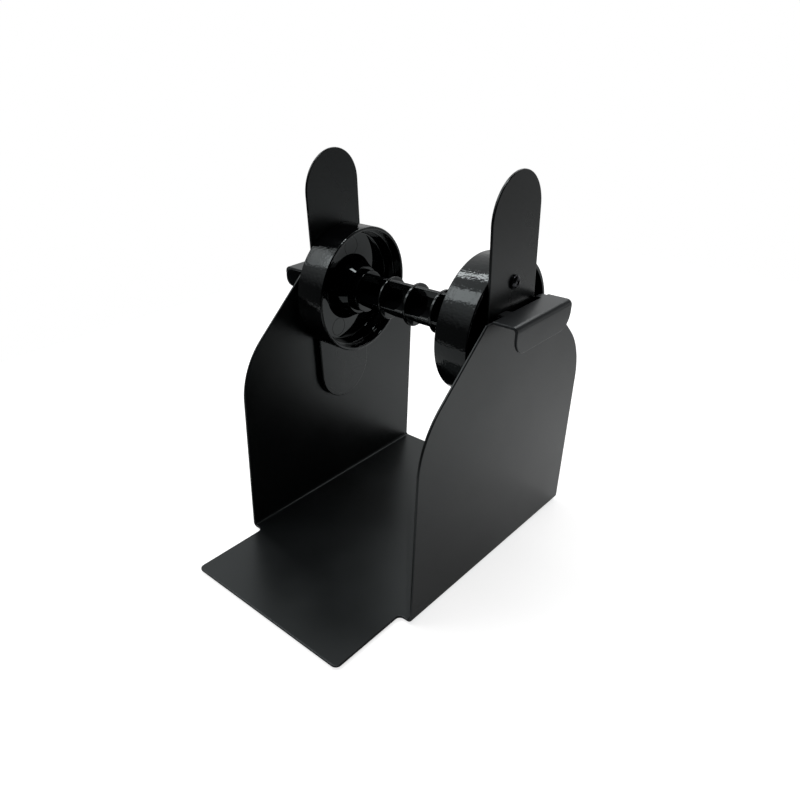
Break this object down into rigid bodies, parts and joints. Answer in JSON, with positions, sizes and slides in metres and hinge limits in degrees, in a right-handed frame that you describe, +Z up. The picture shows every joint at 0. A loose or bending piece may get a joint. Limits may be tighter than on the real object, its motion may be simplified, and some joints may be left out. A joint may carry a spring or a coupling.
{
  "type": "label roll holder",
  "caption": "Desktop label roll holder: folded steel cradle with a lift-out spindle, sliding core wheels, and hook-over hangers with finger tongues.",
  "frame": {"origin": "middle of the footprint, tray included, on the surface that the holder stands on", "axes": "+X along the spindle to the right as seen from the front, +Y to the back, +Z up"},
  "size_m": [0.1574, 0.209, 0.2255],
  "materials": {
    "base": "satin black powder coat",
    "strip": "satin black powder coat",
    "hook": "satin black powder coat",
    "wheel": "glossy black moulded plastic",
    "spindle": "glossy black moulded plastic",
    "block": "matte black moulded plastic",
    "screw": "black nickel plate",
    "nut": "zinc plate",
    "pad": "matte"
  },
  "bodies": {
    "base": {"base": "base", "foot_pads": "pad"},
    "carrier": {"left_strip": "strip", "right_strip": "strip", "left_hook": "hook", "right_hook": "hook", "left_bearing": "block", "right_bearing": "block", "left_screw": "screw", "right_screw": "screw", "left_nut": "nut", "right_nut": "nut"},
    "spindle": {"spindle": "spindle", "left_journal": "spindle", "right_journal": "spindle"},
    "left_wheel": {"left_wheel": "wheel"},
    "right_wheel": {"right_wheel": "wheel"}
  },
  "joints": [
    {"name": "lift_out", "type": "slide", "parent": "base", "child": "carrier", "axis": [0, 0, 1], "range_m": [0, 0.094]},
    {"name": "spindle_spin", "type": "hinge", "parent": "carrier", "child": "spindle", "pos_m": [0, 0.02525, 0.145], "axis": [1, 0, 0], "continuous": true},
    {"name": "left_wheel_slide", "type": "slide", "parent": "spindle", "child": "left_wheel", "axis": [1, 0, 0], "range_m": [0, 0.0386]},
    {"name": "right_wheel_slide", "type": "slide", "parent": "spindle", "child": "right_wheel", "axis": [-1, 0, 0], "range_m": [0, 0.0386]}
  ]
}
